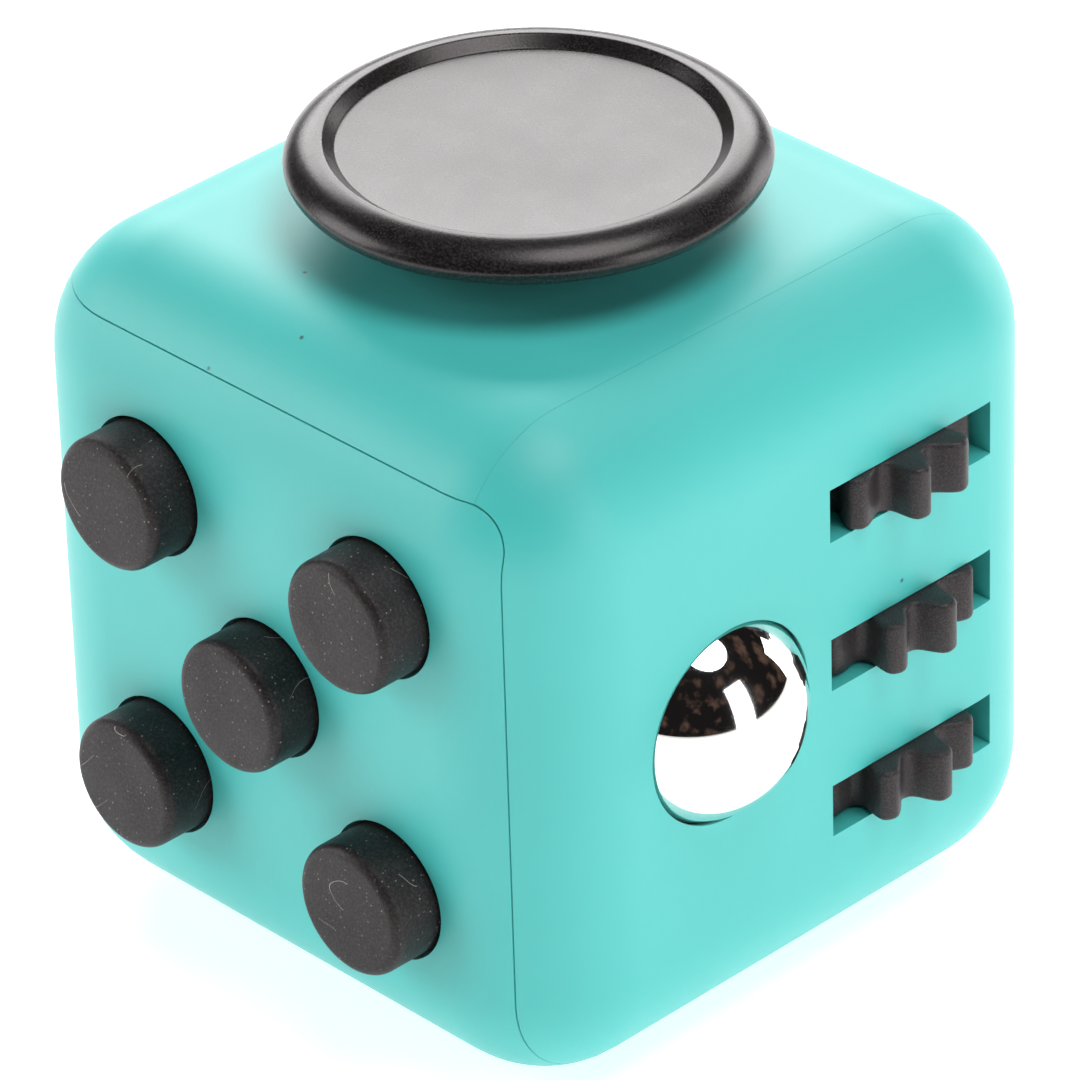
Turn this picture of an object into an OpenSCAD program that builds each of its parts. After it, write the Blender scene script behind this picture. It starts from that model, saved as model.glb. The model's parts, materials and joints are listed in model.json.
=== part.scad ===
/* [Cube] */
// Side of the cube, face to face
side = 33; // [32.5:0.5:34]
// Radius of the rounded edges and corners
edge_r = 6; // [5.6:0.1:6.2]
// Thickness of the shell's walls
wall = 2; // [1.9:0.1:2.1]
// Gap at the seams between the shell parts
seam_gap = 0.09; // [0.06:0.01:0.1]

/* [Buttons] */
// Distance from the middle button's axis to the outer rows
button_pitch = 7.15; // [7:0.05:7.25]
// Radius of a button cap
button_r = 3.1; // [2.9:0.05:3.15]
// How far a cap stands out of the face
button_proud = 2.4; // [2:0.1:2.6]
// Travel of a cap when pressed
button_travel = 0.8; // [0.5:0.1:0.8]

/* [Thumb disc] */
// Radius of the thumb disc
disc_r = 10.55; // [10:0.05:10.6]
// Height of the disc's underside above the top face
disc_gap = 2.1; // [2.1:0.1:2.4]
// Thickness of the disc at its rim
disc_t = 1.9; // [1.7:0.1:2.1]
// Depth of the recess in the disc
disc_dish = 0.5; // [0.4:0.1:0.6]

/* [Ball] */
// Radius of the steel ball
ball_r = 5.15; // [5.1:0.05:5.15]
// Radius of the ball's hole at the face
ball_hole_r = 4.72; // [4.7:0.02:4.74]
// Travel of the ball when pressed
ball_travel = 0.7; // [0.5:0.1:0.8]

/* [Rollers] */
// Radius of a roller over its lobes
roller_r = 4.95; // [4.85:0.05:4.95]
// Number of lobes on a roller
roller_lobes = 10; // [10:1:10]
// Thickness of a roller
roller_t = 2.5; // [2.4:0.05:2.5]
// Distance between the rollers' middles
roller_pitch = 7.5; // [7.4:0.05:7.6]

/* [Dial and rocker] */
// Radius of the spin dial
dial_r = 9.6; // [9:0.1:9.8]
// How far the dial stands out of the face
dial_proud = 2.4; // [2.3:0.1:2.6]
// Length of the rocker
rocker_len = 14.4; // [14.2:0.1:14.6]
// Width of the rocker
rocker_w = 8.4; // [8:0.1:8.6]
// Angle that the rocker flips through
rocker_flip = 20; // [18:1:20]

/* [Hidden] */

half = side / 2;
mid = side / 2;                 // height of the middle of the side faces
core = half - edge_r;           // half of the flat part of a face
inner = half - wall;            // distance from the middle to a wall's inner face
inner_r = edge_r - wall;
seam_x = 13.8;                  // the right cover starts here on the front and back
seam_top_x = 12.1;              // and here on the top
seam_z = mid + 13.75;           // the top cover starts here
seam_r = 2;                     // rounding of the front seam's corner
fine = 0.01;

// front face: five buttons
press_gap = 0.1;
button_hole_r = button_r + 0.18;
button_flange_r = 3.75;
button_flange_t = 0.7;
button_nub_r = 0.9;
button_nub_l = 0.8;
dome_h = 0.9;
plate_t = 1.3;
plate_half = 10.7;
flange_y = -inner + press_gap;
nub_y = flange_y + button_flange_t + button_nub_l;
plate_y = nub_y + dome_h + 0.05;
plate_screw_at = 9.1;
screw_r = 0.7;
head_r = 1.4;
head_h = 0.7;
boss_r = 1.6;

// top face: thumb disc on a sprung pivot cap
pivot_z = mid + 7;
cap_r = 8.5;
cap_t = 1.2;
cap_flange_r = 6.2;
stem_r = 2;
stem_hole_r = 4.2;
disc_z = side + disc_gap;
disc_top = disc_z + disc_t;
retainer_t = 1.2;
retainer_z = mid + 7.1;
retainer_r = 5.4;
retainer_boss_at = 9.2;

// right face: ball and rollers
ball_x = half - sqrt(pow(ball_r, 2) - pow(ball_hole_r - 0.17, 2));
ball_y = -4.9;
ball_gap = 0.1;
sleeve_r = 6;
cup_r = 4.3;
cup_back_x = 8.1;
ball_plate_x = 5.4;
ball_plate_t = 1.2;
ball_boss_at = 8.2;
roller_x = 13.35;
roller_y = 6.3;
roller_root = 3.65;
axle_r = 1;
axle_gap = 0.05;
slot_len = 10.05;
slot_h = 2.62;
bracket_x = 6.6;
bracket_t = 1.5;
ear_t = 1.4;
ear_at = 10.3;
bracket_boss = [[9.4, -roller_pitch / 2], [3.2, roller_pitch / 2]];

// back face: spin dial
dial_gap = 0.2;
hub_r = 2.6;
hub_gap = 0.06;
washer_t = 0.5;
wave_t = 0.35;
hub_in = inner - wave_t - 0.1;

// left face: rocker switch
rocker_x = -half + 1.4;
rocker_gap = 0.2;
rocker_tilt = rocker_flip / 2;
rocker_pin_r = 0.75;
yoke_x = -9.2;
yoke_t = 1.2;
yoke_boss_at = 8;
ear_in = rocker_w / 2 + 0.3;
plunger_r = 0.9;

// bottom face: thumb dish
dish_r = 9.5;
dish_depth = 1.3;
dish_ball_r = (pow(dish_r, 2) + pow(dish_depth, 2)) / (2 * dish_depth);

shell_col = "mediumturquoise";
black = "dimgray";

// ---- shared shapes ----

// A cylinder along X, Y or Z from one place on that axis to another
module rod_x(r, x0, x1) translate([x0, 0, 0]) rotate([0, 90, 0]) cylinder(r = r, h = x1 - x0, $fn = 64);
module rod_y(r, y0, y1) translate([0, y1, 0]) rotate([90, 0, 0]) cylinder(r = r, h = y1 - y0, $fn = 64);
module rod_z(r, z0, z1) translate([0, 0, z0]) cylinder(r = r, h = z1 - z0, $fn = 64);

// A box between two corners
module block(a, b) translate(a) cube(b - a);

// A turned part: a profile of [radius, height] points round Z
module turned(points) rotate_extrude($fn = 96) polygon(points);

// Rounded square of half-width h and corner radius r
module rounded_square(h, r) {
  square([2 * h, 2 * (h - r)], center = true);
  square([2 * (h - r), 2 * h], center = true);
  for (x = [-1, 1], y = [-1, 1]) translate([x * (h - r), y * (h - r)]) circle(r = r, $fn = 64);
}

// The cube's outside, with ball corners and round edges
module outside() {
  // a sphere's first ring of corners sits half a step from its pole
  ball = edge_r / cos(180 / 32);
  hull() for (x = [-1, 1], y = [-1, 1], z = [-1, 1])
    translate([x * core, y * core, mid + z * core]) sphere(r = ball, $fn = 32);
}

// The hollow inside the shell
module hollow() {
  translate([0, 0, mid]) intersection() {
    linear_extrude(2 * inner, center = true) rounded_square(inner, inner_r);
    rotate([90, 0, 0]) linear_extrude(2 * inner, center = true) rounded_square(inner, inner_r);
    rotate([0, 90, 0]) linear_extrude(2 * inner, center = true) rounded_square(inner, inner_r);
  }
}

// What the main body covers, seen from the front: all but a strip at the top and right
module body_region(grow) {
  x = seam_x + grow;
  z = seam_z + grow;
  translate([0, side, 0]) rotate([90, 0, 0]) linear_extrude(2 * side) {
    translate([-side, -side]) square([side + x - seam_r, side + z]);
    translate([-side, -side]) square([side + x, side + z - seam_r]);
    translate([x - seam_r, z - seam_r]) circle(r = seam_r, $fn = 64);
  }
}

// A self-tapping screw pointing along +Z: pan head below, shank above
module screw(length) {
  difference() {
    union() {
      rod_z(head_r, -head_h, 0);
      rod_z(screw_r, 0, length);
    }
    for (a = [0, 90]) rotate(a) block([-0.8, -0.15, -head_h - fine], [0.8, 0.15, -head_h + 0.35]);
  }
}

// A round wire coil spring along Z
module coil(r, wire, height, turns) {
  sides = 6;
  rings = turns * 12;
  points = [for (i = [0 : rings], j = [0 : sides - 1])
    let (a = 30 * i, b = 360 * j / sides, q = r + wire * cos(b))
    [q * cos(a), q * sin(a), wire + (height - 2 * wire) * i / rings + wire * sin(b)]];
  walls = [for (i = [0 : rings - 1], j = [0 : sides - 1])
    let (k = (j + 1) % sides) each [
      [i * sides + j, (i + 1) * sides + j, (i + 1) * sides + k],
      [i * sides + j, (i + 1) * sides + k, i * sides + k]]];
  start = [for (j = [0 : sides - 1]) j];
  end = [for (j = [sides - 1 : -1 : 0]) rings * sides + j];
  polyhedron(points, concat([start, end], walls));
}

// ---- shell ----

module main_body() color(shell_col) {
  difference() {
    union() {
      intersection() {
        difference() {
          outside();
          hollow();
        }
        body_region(0);
      }
      for (p = [[0, plate_screw_at], [0, -plate_screw_at], [-plate_screw_at, 0]])
        translate([p[0], 0, mid + p[1]]) rod_y(boss_r, -inner - fine, plate_y);
      for (y = [-1, 1])
        translate([0, y * yoke_boss_at, mid]) rod_x(boss_r, -inner - fine, yoke_x - yoke_t);
      rod_z(dish_r, wall - fine, wall + dish_depth - 0.2);
    }
    for (p = button_places()) translate([p[0], 0, p[1]]) rod_y(button_hole_r, -half - 1, -inner + 1);
    for (p = [[0, plate_screw_at], [0, -plate_screw_at], [-plate_screw_at, 0]])
      translate([p[0], 0, mid + p[1]]) rod_y(screw_r, -inner + 0.5, plate_y + 1);
    for (y = [-1, 1])
      translate([0, y * yoke_boss_at, mid]) rod_x(screw_r, -inner + 0.5, yoke_x + 1);
    translate([0, 0, mid]) rod_y(hub_r + hub_gap, inner - 1, half + 1);
    rocker_opening();
    pin_groove();
    translate([0, 0, dish_depth - dish_ball_r]) sphere(r = dish_ball_r, $fn = 128);
  }
}

module rocker_opening() {
  w = rocker_w / 2 + rocker_gap;
  l = rocker_len / 2 + rocker_gap;
  block([-half - 1, -w, mid - l], [-inner + 1, w, mid + l]);
}

// The rocker's pin snaps into a groove behind each side of the opening
module pin_groove() translate([0, 0, mid]) {
  y = ear_in + 1.3;
  translate([rocker_x, 0, 0]) rod_y(rocker_pin_r + 0.01, -y, y);
  block([rocker_x, -y, -rocker_pin_r + 0.06], [-inner + 1, y, rocker_pin_r - 0.06]);
}

module top_cover() color(shell_col) {
  difference() {
    union() {
      intersection() {
        difference() {
          outside();
          hollow();
        }
        block([-side, -side, 0], [seam_top_x, side, 2 * side]);
      }
      for (p = retainer_bosses()) translate([p[0], p[1], 0]) rod_z(boss_r, retainer_z + retainer_t, side - wall + fine);
    }
    body_region(seam_gap);
    rod_z(stem_hole_r, side - wall - 1, side + 1);
    for (p = retainer_bosses()) translate([p[0], p[1], 0]) rod_z(screw_r, retainer_z, side - wall - 0.5);
  }
  // the bosses reach below the seam, so they are put back where the body's region took them
  for (p = retainer_bosses()) translate([p[0], p[1], 0]) difference() {
    rod_z(boss_r, retainer_z + retainer_t, seam_z + 1);
    rod_z(screw_r, retainer_z, seam_z + 2);
  }
}

module right_cover() color(shell_col) {
  difference() {
    union() {
      difference() {
        intersection() {
          difference() {
            outside();
            hollow();
          }
          block([seam_top_x + seam_gap, -side, -side], [side, side, 2 * side]);
        }
        body_region(seam_gap);
      }
      translate([0, ball_y, mid]) rod_x(sleeve_r, ball_x - 2.6, inner + fine);
      for (z = [-1, 1])
        translate([0, ball_y, mid + z * ball_boss_at]) rod_x(boss_r, ball_plate_x + ball_plate_t, inner + fine);
      for (p = bracket_boss)
        translate([0, p[0], mid + p[1]]) rod_x(boss_r - 0.1, bracket_x + bracket_t, inner + fine);
    }
    translate([0, ball_y, mid]) rotate([0, 90, 0]) ball_bore();
    for (i = [-1, 0, 1]) translate([0, 0, i * roller_pitch]) roller_slot();
    for (z = [-1, 1])
      translate([0, ball_y, mid + z * ball_boss_at]) rod_x(screw_r, ball_plate_x, inner - 1);
    for (p = bracket_boss)
      translate([0, p[0], mid + p[1]]) rod_x(screw_r, bracket_x, inner - 1);
  }
}

// The ball's bore along Z: straight at the back, then narrowing round the ball to the hole at the face
module ball_bore() {
  bore_r = ball_r + ball_gap;
  last = acos(ball_hole_r / bore_r);
  turned(concat(
    [[0, ball_x - 3], [bore_r, ball_x - 3]],
    [for (i = [0 : 6]) [bore_r * cos(last * i / 6), ball_x + bore_r * sin(last * i / 6)]],
    [[ball_hole_r, half + 1], [0, half + 1]]));
}

module roller_slot()
  block([inner - 1, roller_y - slot_len / 2, mid - slot_h / 2], [half + 1, roller_y + slot_len / 2, mid + slot_h / 2]);

// ---- front: buttons ----

function button_places() = [
  [-button_pitch, mid + button_pitch], [button_pitch, mid + button_pitch], [0, mid],
  [-button_pitch, mid - button_pitch], [button_pitch, mid - button_pitch]];

module at_button(i) translate([button_places()[i][0], 0, button_places()[i][1]]) children();

// One cap: a rounded head, a flange behind the wall and a nub on the dome
module button_cap(i) color(black) at_button(i) {
  round_r = 0.55;
  rotate([90, 0, 0]) turned(concat(
    [[0, -nub_y], [button_nub_r, -nub_y], [button_nub_r, -nub_y + button_nub_l],
     [button_flange_r, -nub_y + button_nub_l], [button_flange_r, -flange_y], [button_r, -flange_y]],
    [for (a = [0 : 15 : 90]) [button_r - round_r + round_r * cos(a), half + button_proud - round_r + round_r * sin(a)]],
    [[0, half + button_proud]]));
}

// A domed return spring under a cap: its flat rim sits on the plate
module dome(i, r, t) color(i == 1 || i == 3 ? "gainsboro" : "silver") at_button(i) {
  rotate([90, 0, 0]) turned([
    [0, -nub_y - 0.02], [1, -nub_y - 0.02], [r - 0.5, -plate_y + 0.02 + t], [r, -plate_y + 0.02 + t],
    [r, -plate_y + 0.02], [r - 0.6, -plate_y + 0.02], [0.9, -nub_y - 0.02 - t], [0, -nub_y - 0.02 - t]]);
}

module button_plate() color("whitesmoke") difference() {
  block([-plate_half, plate_y, mid - plate_half], [plate_half, plate_y + plate_t, mid + plate_half]);
  for (p = [[0, plate_screw_at], [0, -plate_screw_at], [-plate_screw_at, 0]])
    translate([p[0], 0, mid + p[1]]) rod_y(screw_r + 0.15, plate_y - 1, plate_y + plate_t + 1);
  for (p = button_places()) translate([p[0], 0, p[1]]) rod_y(0.8, plate_y - 1, plate_y + plate_t + 1);
}

module button_plate_screws() color("silver")
  for (p = [[0, plate_screw_at], [0, -plate_screw_at], [-plate_screw_at, 0]])
    translate([p[0], plate_y + plate_t, mid + p[1]]) rotate([90, 0, 0]) screw(3.3);

// ---- top: thumb disc ----

function retainer_bosses() = [[-retainer_boss_at, 0], [retainer_boss_at, 0], [0, retainer_boss_at]];

module thumb_disc() color(black) {
  floor_r = 8.1;
  crest_r = disc_r - 1.47;
  low = 0.9;
  high = disc_t - low;
  difference() {
    union() {
      turned(concat(
        [[0, disc_z], [disc_r - 2.5, disc_z]],
        [for (a = [-90 : 15 : 0]) [disc_r - 1.2 + 1.2 * cos(a), disc_z + low + low * sin(a)]],
        [for (a = [15 : 15 : 90]) [crest_r + 1.47 * pow(cos(a), 1.25), disc_z + low + high * pow(sin(a), 1.25)]],
        [[crest_r - 0.2, disc_top - 0.05], [floor_r + 0.3, disc_top - disc_dish + 0.15],
         [floor_r, disc_top - disc_dish], [0, disc_top - disc_dish]]));
      rod_z(stem_r, pivot_z + cap_r - 0.2, disc_z + fine);
    }
    rod_z(screw_r, pivot_z + cap_r - 1, disc_z + 0.2);
  }
}

// The spherical cap that rocks under the cover's hole
module pivot_cap() color("whitesmoke") difference() {
  intersection() {
    translate([0, 0, pivot_z]) sphere(r = cap_r, $fn = 96);
    rod_z(cap_flange_r, pivot_z + 5, pivot_z + cap_r - 0.2);
  }
  translate([0, 0, pivot_z]) sphere(r = cap_r - cap_t, $fn = 96);
  rod_z(screw_r + 0.1, pivot_z + 5, pivot_z + cap_r + 1);
}

module disc_screw() color("silver")
  translate([0, 0, pivot_z + cap_r - cap_t - 0.15]) screw(4.6);

module disc_spring() color("silver")
  translate([0, 0, retainer_z + retainer_t + 0.05]) coil(3.4, 0.3, 4.9, 4);

module disc_retainer() color("whitesmoke") difference() {
  union() {
    rod_z(retainer_r, retainer_z, retainer_z + retainer_t);
    for (p = retainer_bosses()) hull() {
      translate([p[0], p[1], 0]) rod_z(boss_r, retainer_z, retainer_z + retainer_t);
      translate([p[0] / 3, p[1] / 3, 0]) rod_z(boss_r, retainer_z, retainer_z + retainer_t);
    }
  }
  for (p = retainer_bosses())
    translate([p[0], p[1], 0]) rod_z(screw_r + 0.15, retainer_z - 1, retainer_z + retainer_t + 1);
  rod_z(2, retainer_z - 1, retainer_z + retainer_t + 1);
}

module disc_retainer_screws() color("silver")
  for (p = retainer_bosses()) translate([p[0], p[1], retainer_z]) screw(4.5);

// ---- right: ball ----

module steel_ball() color("silver") translate([ball_x, ball_y, mid]) sphere(r = ball_r, $fn = 96);

module ball_cup() color("whitesmoke") translate([0, ball_y, mid]) difference() {
  union() {
    rod_x(cup_r, cup_back_x, ball_x - 2.7);
    rod_x(button_nub_r, ball_plate_x + ball_plate_t + 0.3 + ball_travel, cup_back_x + fine);
  }
  translate([ball_x, 0, 0]) sphere(r = ball_r + 0.03, $fn = 96);
}

module ball_click_dome() color("silver") translate([0, ball_y, mid]) rotate([0, 90, 0]) {
  low = ball_plate_x + ball_plate_t + 0.01;
  high = ball_plate_x + ball_plate_t + 0.28 + ball_travel;
  turned([[0, high - 0.2], [0.9, high - 0.2], [2.4, low], [3, low], [3, low + 0.2], [2.5, low + 0.2], [1, high], [0, high]]);
}

module ball_plate() color("whitesmoke") translate([0, ball_y, mid]) difference() {
  union() {
    rod_x(3.6, ball_plate_x, ball_plate_x + ball_plate_t);
    block([ball_plate_x, -boss_r, -ball_boss_at], [ball_plate_x + ball_plate_t, boss_r, ball_boss_at]);
    for (z = [-1, 1]) translate([0, 0, z * ball_boss_at]) rod_x(boss_r, ball_plate_x, ball_plate_x + ball_plate_t);
  }
  for (z = [-1, 1]) translate([0, 0, z * ball_boss_at]) rod_x(screw_r + 0.15, ball_plate_x - 1, ball_plate_x + ball_plate_t + 1);
}

module ball_plate_screws() color("silver")
  for (z = [-1, 1]) translate([ball_plate_x, ball_y, mid + z * ball_boss_at]) rotate([0, 90, 0]) screw(4.5);

// ---- right: rollers ----

// The lobed outline: round lobes with valleys as wide as they are and steep flanks between
module lobes() {
  step = 4;
  squareness = 0.4;
  half_depth = (roller_r - roller_root) / 2;
  polygon([for (a = [0 : step : 359])
    let (w = cos(roller_lobes * a), r = roller_root + half_depth * (1 + w + squareness * w * (1 - w * w)))
    [r * cos(a), r * sin(a)]]);
}

module roller(level, phase) color(black) translate([roller_x, roller_y, mid + level * roller_pitch - roller_t / 2])
  difference() {
    rotate(phase) linear_extrude(roller_t) lobes();
    rod_z(axle_r + axle_gap, -1, roller_t + 1);
  }

module roller_axle() color("silver") translate([roller_x, roller_y, 0])
  rod_z(axle_r, mid - ear_at - ear_t, mid + ear_at + ear_t);

module roller_bracket() color("whitesmoke") difference() {
  union() {
    block([bracket_x, roller_y - 4.4, mid - ear_at - ear_t], [bracket_x + bracket_t, roller_y + 4.4, mid + ear_at + ear_t]);
    for (z = [-ear_at - ear_t, ear_at])
      block([bracket_x, roller_y - 2.5, mid + z], [inner - 0.3, roller_y + 2.5, mid + z + ear_t]);
  }
  translate([roller_x, roller_y, 0]) rod_z(axle_r + 0.01, mid - ear_at - 2 * ear_t, mid + ear_at + 2 * ear_t);
  for (p = bracket_boss)
    translate([0, p[0], mid + p[1]]) rod_x(screw_r + 0.15, bracket_x - 1, bracket_x + bracket_t + 1);
}

// A comb of three thin fingers that rub on the rollers
module roller_leaf_spring() color("silver") {
  x = bracket_x + bracket_t;
  for (i = [-1, 0, 1]) block([x, roller_y - 1, mid + i * roller_pitch - 0.9], [x + 0.15, roller_y + 1, mid + i * roller_pitch + 0.9]);
  block([x, roller_y - 1, mid - roller_pitch - 0.9], [x + 0.15, roller_y - 0.3, mid + roller_pitch + 0.9]);
}

module roller_bracket_screws() color("silver")
  for (p = bracket_boss) translate([bracket_x, p[0], mid + p[1]]) rotate([0, 90, 0]) screw(4.5);

// ---- back: spin dial ----

module spin_dial() color(black) translate([0, 0, mid]) {
  lip = 0.5;
  low = half + dial_gap;
  high = half + dial_proud;
  difference() {
    union() {
      rotate([-90, 0, 0]) turned(concat(
        [[0, low], [dial_r - 0.3, low], [dial_r, low + 0.3]],
        [for (a = [0 : 15 : 90]) [dial_r - lip + lip * cos(a), high - lip + lip * sin(a)]],
        [[0, high]]));
      rod_y(hub_r, hub_in, low + fine);
    }
    translate([0, high + 1.6, 5.6]) sphere(r = 2.8, $fn = 64);
    rod_y(screw_r, hub_in - 1, half - 0.4);
    for (a = [0 : 20 : 359]) rotate([0, a, 0]) translate([dial_r + 0.75, 0, 0]) rod_y(1, low - 1, high + 1);
  }
}

module dial_wave_washer() color("silver") translate([0, 0, mid]) difference() {
  rod_y(4.4, inner - wave_t, inner);
  rod_y(hub_r + 0.2, inner - 2 * wave_t, inner + 1);
}

module dial_retainer() color("whitesmoke") translate([0, 0, mid]) difference() {
  rod_y(4.2, hub_in - washer_t, hub_in);
  rod_y(screw_r + 0.1, hub_in - 2 * washer_t, hub_in + 1);
}

module dial_screw() color("silver")
  translate([0, hub_in - washer_t, mid]) rotate([-90, 0, 0]) screw(2.5);

// ---- left: rocker switch ----

// The rocker as it stands at rest, with its upper half out
module at_rocker() translate([rocker_x, 0, mid]) rotate([0, rocker_tilt, 0]) children();

module rocker() color(black) at_rocker() difference() {
  rotate([90, 0, 0]) linear_extrude(rocker_w, center = true)
    polygon([
      [-2.35, rocker_len / 2 - 0.45], [-1.9, rocker_len / 2 - 0.25], [1.2, rocker_len / 2 - 0.5],
      [2.6, 2.2], [2.6, -2.2], [1.2, 0.5 - rocker_len / 2], [-1.9, 0.25 - rocker_len / 2],
      [-2.35, 0.45 - rocker_len / 2], [-1.35, 0]]);
  rod_y(rocker_pin_r + 0.05, -rocker_w, rocker_w);
  rod_x(plunger_r + 0.06, rocker_pin_r + 0.5, 4);
}

module rocker_pin() color("silver") translate([rocker_x, 0, mid]) rod_y(rocker_pin_r, -ear_in - 1.1, ear_in + 1.1);

module rocker_plunger() color("silver") at_rocker() {
  rod_x(plunger_r, 2.2, 3.3);
  translate([3.3, 0, 0]) intersection() {
    sphere(r = plunger_r, $fn = 48);
    rod_x(2 * plunger_r, -fine, plunger_r + 1);
  }
}

module rocker_spring() color("silver") at_rocker()
  translate([rocker_pin_r + 0.55, 0, 0]) rotate([0, 90, 0]) coil(0.6, 0.12, 0.88, 3);

// Base plate with two ears that keep the pin in its grooves, and a round track for the plunger
module rocker_yoke() color("whitesmoke") difference() {
  ear_t = 1.2;
  union() {
    block([yoke_x - yoke_t, -yoke_boss_at - boss_r, mid - 2.6], [yoke_x, yoke_boss_at + boss_r, mid + 2.6]);
    block([yoke_x - yoke_t, -ear_in - ear_t, mid - 5], [yoke_x, ear_in + ear_t, mid + 5]);
    for (y = [-ear_in - ear_t, ear_in]) block([-inner + 0.2, y, mid - 2.6], [yoke_x, y + ear_t, mid + 2.6]);
    block([yoke_x - yoke_t - 1.1, -1.4, mid - 2.2], [yoke_x, 1.4, mid + 2.2]);
  }
  translate([rocker_x, 0, mid]) rod_y(4.3, -2, 2);
  for (y = [-1, 1]) translate([0, y * yoke_boss_at, mid]) rod_x(screw_r + 0.15, yoke_x - yoke_t - 1, yoke_x + 1);
}

module rocker_yoke_screws() color("silver")
  for (y = [-1, 1]) translate([yoke_x, y * yoke_boss_at, mid]) rotate([0, -90, 0]) screw(4);

main_body();
top_cover();
right_cover();
button_cap(0);  // button_upper_left
button_cap(1);  // button_upper_right
button_cap(2);  // button_centre
button_cap(3);  // button_lower_left
button_cap(4);  // button_lower_right
dome(0, 2.6, 0.2);  // click_dome_upper_left
dome(1, 2.8, 0.35);  // soft_dome_upper_right
dome(2, 2.6, 0.2);  // click_dome_centre
dome(3, 2.8, 0.35);  // soft_dome_lower_left
dome(4, 2.6, 0.2);  // click_dome_lower_right
button_plate();
button_plate_screws();
thumb_disc();
pivot_cap();
disc_screw();
disc_spring();
disc_retainer();
disc_retainer_screws();
steel_ball();
ball_cup();
ball_click_dome();
ball_plate();
ball_plate_screws();
roller(1, 25);  // roller_upper
roller(0, 9.5);  // roller_middle
roller(-1, 5);  // roller_lower
roller_axle();
roller_bracket();
roller_leaf_spring();
roller_bracket_screws();
spin_dial();
dial_wave_washer();
dial_retainer();
dial_screw();
rocker();
rocker_pin();
rocker_plunger();
rocker_spring();
rocker_yoke();
rocker_yoke_screws();
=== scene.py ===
import json
import math

import bmesh
import bpy
from mathutils import Matrix, Vector


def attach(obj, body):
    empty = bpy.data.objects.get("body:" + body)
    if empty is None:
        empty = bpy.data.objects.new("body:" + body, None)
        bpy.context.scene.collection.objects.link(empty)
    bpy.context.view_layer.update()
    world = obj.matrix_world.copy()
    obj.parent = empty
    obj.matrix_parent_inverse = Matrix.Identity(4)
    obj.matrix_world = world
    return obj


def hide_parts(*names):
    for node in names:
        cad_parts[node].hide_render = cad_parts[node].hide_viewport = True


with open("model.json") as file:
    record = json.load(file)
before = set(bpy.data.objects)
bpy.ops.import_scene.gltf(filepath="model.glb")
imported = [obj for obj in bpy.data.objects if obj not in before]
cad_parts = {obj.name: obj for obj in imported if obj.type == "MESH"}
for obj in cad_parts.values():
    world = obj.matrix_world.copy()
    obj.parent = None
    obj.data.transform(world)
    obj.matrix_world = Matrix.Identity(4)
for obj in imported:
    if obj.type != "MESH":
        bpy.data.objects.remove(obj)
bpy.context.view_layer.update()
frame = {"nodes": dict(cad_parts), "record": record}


# ---------------------------------------------------------------------------
# Camera: a long lens a little above the cube, turned to its button face and
# its ball face at once.
AZIMUTH = math.radians(46.37)
ELEVATION = math.radians(31.84)
ROLL = math.radians(-1.796)
DISTANCE = 0.3742
LENS = 283.4
AIM_HEIGHT = 0.0165
SHIFT_RIGHT, SHIFT_UP = 0.000027, 0.000043

towards_camera = Vector((
    math.sin(AZIMUTH) * math.cos(ELEVATION),
    -math.cos(AZIMUTH) * math.cos(ELEVATION),
    math.sin(ELEVATION)))
level_right = (-towards_camera).cross(Vector((0, 0, 1))).normalized()
level_up = level_right.cross(-towards_camera)
camera_right = level_right * math.cos(ROLL) + level_up * math.sin(ROLL)
camera_up = level_up * math.cos(ROLL) - level_right * math.sin(ROLL)

camera_data = bpy.data.cameras.new("camera")
camera_data.lens = LENS
camera_data.sensor_width = 36
camera_data.clip_start = 0.01
camera_data.clip_end = 20
camera = bpy.data.objects.new("camera", camera_data)
bpy.context.scene.collection.objects.link(camera)
turn = Matrix((camera_right, camera_up, towards_camera)).transposed().to_4x4()
stand = Vector((0, 0, AIM_HEIGHT)) - SHIFT_RIGHT * level_right - SHIFT_UP * level_up
camera.matrix_world = Matrix.Translation(stand + towards_camera * DISTANCE) @ turn
bpy.context.scene.camera = camera


# ---------------------------------------------------------------------------
# Studio: a white sweep under the cube and big soft lights round it, with the
# room behind them kept dim so that polished steel has something dark to show.
def material(name, base, rough, **sockets):
    """A named material; returns it with its nodes, links and shader."""
    m = bpy.data.materials.new(name)
    m.use_nodes = True
    shader = m.node_tree.nodes["Principled BSDF"]
    shader.inputs["Base Color"].default_value = (*base, 1)
    shader.inputs["Roughness"].default_value = rough
    for key, value in sockets.items():
        shader.inputs[key.replace("_", " ")].default_value = value
    return m, m.node_tree.nodes, m.node_tree.links, shader


def soft_light(name, place, target, width, height, watts, shape="RECTANGLE"):
    """A soft box, or a round one, that faces the target."""
    data = bpy.data.lights.new(name, "AREA")
    data.shape = shape
    data.size = width
    data.size_y = height
    data.energy = watts
    light = bpy.data.objects.new(name, data)
    light.location = place
    light.rotation_euler = (Vector(target) - Vector(place)).to_track_quat("-Z", "Y").to_euler()
    bpy.context.scene.collection.objects.link(light)


paper, nodes, links, shader = material(
    "white_paper", (0.93, 0.93, 0.93), 0.7, Emission_Color=(1, 1, 1, 1), Emission_Strength=0.65)
grain = nodes.new("ShaderNodeTexNoise")
grain.inputs["Scale"].default_value = 900
bump = nodes.new("ShaderNodeBump")
bump.inputs["Strength"].default_value = 0.02
links.new(grain.outputs["Fac"], bump.inputs["Height"])
links.new(bump.outputs["Normal"], shader.inputs["Normal"])
bm = bmesh.new()
bmesh.ops.create_grid(bm, x_segments=2, y_segments=2, size=1.6)
floor_mesh = bpy.data.meshes.new("floor")
bm.to_mesh(floor_mesh)
bm.free()
floor = bpy.data.objects.new("floor", floor_mesh)
floor_mesh.materials.append(paper)
bpy.context.scene.collection.objects.link(floor)

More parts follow.
